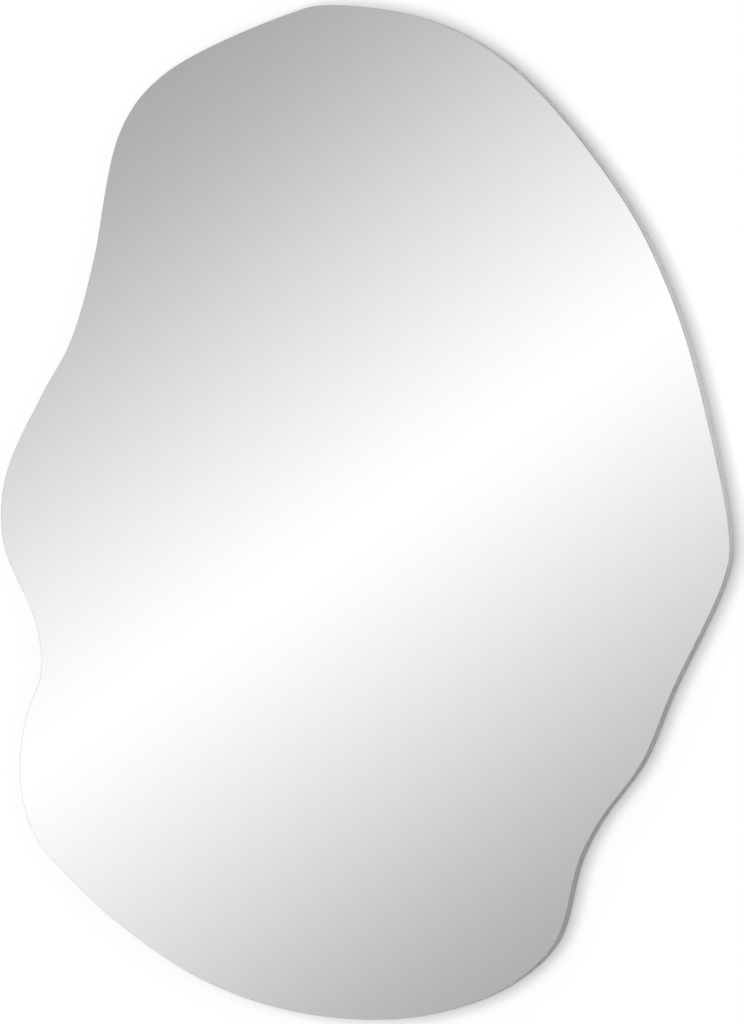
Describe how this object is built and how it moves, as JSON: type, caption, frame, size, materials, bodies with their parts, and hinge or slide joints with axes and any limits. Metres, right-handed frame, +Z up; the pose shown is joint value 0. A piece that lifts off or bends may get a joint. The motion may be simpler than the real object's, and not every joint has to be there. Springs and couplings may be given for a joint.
{
  "type": "irregular wall mirror",
  "caption": "Frameless wall mirror with an irregular pebble outline, on a backing board with a satin edge, that hangs by interlocking hooked rails.",
  "frame": {"origin": "middle of the wall rail's back face, in the plane of the wall", "axes": "+X to the right of someone who faces the mirror, +Z up, +Y into the wall; the mirror stands out from the wall towards -Y"},
  "size_m": [0.512, 0.0662, 0.7],
  "materials": {
    "silvered_glass": "silvered float glass with a polished edge",
    "clear_film": "thin safety film",
    "foam_tape": "soft closed-cell foam",
    "mirror_adhesive": "cured adhesive",
    "fibreboard": "raw medium-density fibreboard",
    "silver_strip": "satin silver-grey edging",
    "aluminium": "mill-finish extrusion",
    "zinced_steel": "bright zinc plate",
    "black_rubber": "matt",
    "grey_nylon": "moulded"
  },
  "bodies": {
    "wall_side": {"wall_rail": "aluminium", "wall_screw_1": "zinced_steel", "wall_screw_2": "zinced_steel", "wall_screw_3": "zinced_steel", "wall_screw_4": "zinced_steel", "wall_plug_1": "grey_nylon", "wall_plug_2": "grey_nylon", "wall_plug_3": "grey_nylon", "wall_plug_4": "grey_nylon"},
    "panel": {"mirror_glass": "silvered_glass", "safety_film": "clear_film", "mounting_tape_1": "foam_tape", "mounting_tape_2": "foam_tape", "mounting_tape_3": "foam_tape", "adhesive_bead_1": "mirror_adhesive", "adhesive_bead_2": "mirror_adhesive", "adhesive_bead_3": "mirror_adhesive", "adhesive_bead_4": "mirror_adhesive", "backing_board": "fibreboard", "edge_band": "silver_strip", "panel_rail": "aluminium", "panel_rail_screw_1": "zinced_steel", "panel_rail_screw_2": "zinced_steel", "panel_rail_screw_3": "zinced_steel", "panel_rail_screw_4": "zinced_steel", "bumper_left": "black_rubber", "bumper_left_washer": "zinced_steel", "bumper_left_screw": "zinced_steel", "bumper_right": "black_rubber", "bumper_right_washer": "zinced_steel", "bumper_right_screw": "zinced_steel"}
  },
  "joints": [
    {"name": "lift_off", "type": "slide", "parent": "wall_side", "child": "panel", "axis": [0, 0, 1], "range_m": [0, 0.012]}
  ]
}
